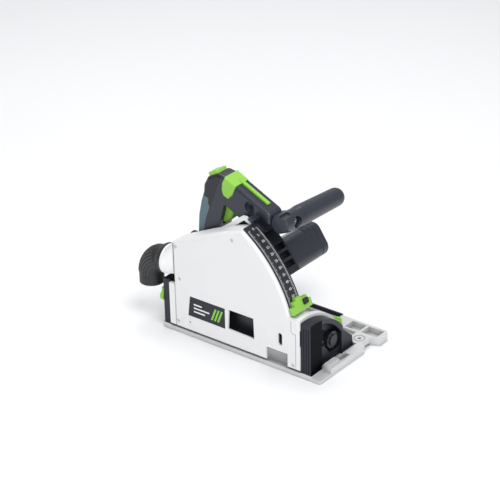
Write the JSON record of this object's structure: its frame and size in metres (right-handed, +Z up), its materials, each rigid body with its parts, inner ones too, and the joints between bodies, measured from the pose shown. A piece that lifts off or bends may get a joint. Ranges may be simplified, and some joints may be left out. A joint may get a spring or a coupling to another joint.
{
  "type": "track plunge saw",
  "caption": "Track plunge saw: flat base with guide-rail groove, tilting blade guard, pivoting motor unit with D handle and front bar handle, dust elbow and curved depth scale.",
  "frame": {"origin": "on the sole plane, on the blade's mid-plane, below the arbor at full cutting depth", "axes": "+X the cutting direction along the guide rail, +Y towards the motor, +Z up out of the sole"},
  "size_m": [0.329, 0.185, 0.2513],
  "materials": {
    "base_casting": "bead-blasted casting",
    "guard_white": "satin powder coat",
    "cover_white": "fine grain",
    "bracket_dark": "dark satin coat on a casting",
    "housing_dark": "fine grain",
    "bumper_dark": "smooth",
    "green_plastic": "semi-gloss",
    "grip_rubber": "soft grip",
    "hose_black": "semi-matt",
    "label_black": "printed label",
    "scale_black": "printed scale",
    "gear_case": "dark coated die casting",
    "steel_zinc": "zinc plated",
    "steel_black": "black oxide",
    "steel_ground": "ground",
    "blade_steel": "polished plate",
    "spring_steel": "oil tempered",
    "bearing_steel": "polished",
    "copper": "bare",
    "lamination": "stacked laminations",
    "carbon": "pressed carbon",
    "board_green": "potted"
  },
  "bodies": {
    "base": {"base_plate": "base_casting", "bracket_screws": "steel_black", "base_side_strip": "bracket_dark", "front_bevel_bracket": "bracket_dark", "rear_bevel_bracket": "bracket_dark"},
    "tilt_frame": {"guard_housing": "guard_white", "guard_cover": "cover_white", "label_plate": "label_black", "cover_screws": "steel_black", "depth_scale": "scale_black", "plunge_pivot_pin": "steel_ground", "pivot_clip": "spring_steel", "return_spring": "spring_steel", "front_bevel_bolt": "steel_zinc", "rear_bevel_bolt": "steel_zinc"},
    "blade_drive": {"spindle": "steel_ground", "drive_gear": "steel_ground", "inner_flange": "steel_ground", "outer_flange": "steel_zinc", "arbor_screw": "steel_black", "saw_blade": "blade_steel"},
    "motor_rotor": {"armature": "lamination", "commutator": "copper", "cooling_fan": "bumper_dark", "pinion": "steel_ground"},
    "front_guide_cam": {"front_guide_knob": "green_plastic"},
    "rear_guide_cam": {"rear_guide_knob": "green_plastic"},
    "undercut_catch": {"undercut_lever": "green_plastic"},
    "front_clamp": {"front_bevel_knob": "bumper_dark"},
    "rear_clamp": {"rear_bevel_knob": "bumper_dark"},
    "hose_elbow": {"dust_elbow": "hose_black"},
    "depth_slider": {"depth_stop": "green_plastic"},
    "depth_button": {"stop_button": "bumper_dark"},
    "switch_trigger": {"trigger": "green_plastic"},
    "plunge_lock": {"lock_button": "green_plastic"},
    "blade_change_lever": {"change_lever": "green_plastic"},
    "dial": {"speed_dial": "green_plastic"},
    "plunge_unit": {"aux_handle": "housing_dark", "aux_handle_screw": "steel_zinc", "carbon_brushes": "carbon", "electronics_module": "board_green", "gear_case_cover": "gear_case", "gear_housing": "gear_case", "grip_overmould": "grip_rubber", "handle_rear_cap": "bumper_dark", "handle_screws": "steel_black", "handle_shell_left": "housing_dark", "handle_shell_right": "housing_dark", "motor_bearings": "bearing_steel", "motor_end_cap": "housing_dark", "motor_housing": "housing_dark", "power_inlet": "bumper_dark", "spindle_bearings": "bearing_steel", "stator": "lamination", "switch_module": "bumper_dark"}
  },
  "joints": [
    {"name": "bevel_tilt", "type": "hinge", "parent": "base", "child": "tilt_frame", "pos_m": [0, -0.005, 0], "axis": [1, 0, 0], "range_deg": [-1, 47]},
    {"name": "plunge", "type": "hinge", "parent": "tilt_frame", "child": "plunge_unit", "pos_m": [-0.1059, 0, 0.03], "axis": [0, 1, 0], "range_deg": [0, 32.7], "stiffness_Nm_per_rad": 6, "springref_deg": -57.3},
    {"name": "blade_spin", "type": "hinge", "parent": "plunge_unit", "child": "blade_drive", "pos_m": [-0.0141, 0, 0.083], "axis": [0, 1, 0], "continuous": true},
    {"name": "armature_spin", "type": "hinge", "parent": "plunge_unit", "child": "motor_rotor", "pos_m": [-0.00605, 0, 0.10772], "axis": [0, 1, 0], "continuous": true},
    {"name": "depth_stop_set", "type": "hinge", "parent": "tilt_frame", "child": "depth_slider", "pos_m": [-0.1059, 0, 0.03], "axis": [0, 1, 0], "range_deg": [-32.7, 0]},
    {"name": "stop_button_press", "type": "slide", "parent": "depth_slider", "child": "depth_button", "axis": [-0.9361, 0, -0.3518], "range_m": [0, 0.0015], "stiffness_N_per_m": 400, "springref_m": -0.002},
    {"name": "trigger_pull", "type": "hinge", "parent": "plunge_unit", "child": "switch_trigger", "pos_m": [-0.059, 0.033, 0.204], "axis": [0, 1, 0], "range_deg": [0, 6], "stiffness_Nm_per_rad": 0.6, "springref_deg": -5.73},
    {"name": "lock_button_press", "type": "slide", "parent": "plunge_unit", "child": "plunge_lock", "axis": [0.4551, 0, -0.8904], "range_m": [0, 0.002], "stiffness_N_per_m": 400, "springref_m": -0.002},
    {"name": "change_lever_lift", "type": "hinge", "parent": "plunge_unit", "child": "blade_change_lever", "pos_m": [0.014, 0.03375, 0.21915], "axis": [0, 1, 0], "range_deg": [0, 25]},
    {"name": "speed_dial_turn", "type": "hinge", "parent": "plunge_unit", "child": "dial", "pos_m": [-0.076, 0.047, 0.127], "axis": [0, 1, 0], "range_deg": [0, 270]},
    {"name": "front_clamp_turn", "type": "hinge", "parent": "tilt_frame", "child": "front_clamp", "pos_m": [0.11, 0.04579, 0.03556], "axis": [1, 0, 0], "range_deg": [0, 90]},
    {"name": "rear_clamp_turn", "type": "hinge", "parent": "tilt_frame", "child": "rear_clamp", "pos_m": [-0.134, 0.04579, 0.03556], "axis": [1, 0, 0], "range_deg": [0, 90]},
    {"name": "elbow_swivel", "type": "hinge", "parent": "tilt_frame", "child": "hose_elbow", "pos_m": [-0.14, -0.002, 0.106], "axis": [1, 0, 0], "range_deg": [-90, 90]},
    {"name": "front_cam_turn", "type": "hinge", "parent": "base", "child": "front_guide_cam", "pos_m": [0.068, 0.118, 0.01], "axis": [0, 0, 1], "range_deg": [0, 90]},
    {"name": "rear_cam_turn", "type": "hinge", "parent": "base", "child": "rear_guide_cam", "pos_m": [-0.1, 0.118, 0.008], "axis": [0, 0, 1], "range_deg": [0, 90]},
    {"name": "undercut_turn", "type": "hinge", "parent": "base", "child": "undercut_catch", "pos_m": [-0.136, -0.0122, 0.046], "axis": [1, 0, 0], "range_deg": [0, 30]}
  ],
  "couplings": [
    {"joint": "armature_spin", "follows": "blade_spin", "ratio": -3.3333}
  ]
}
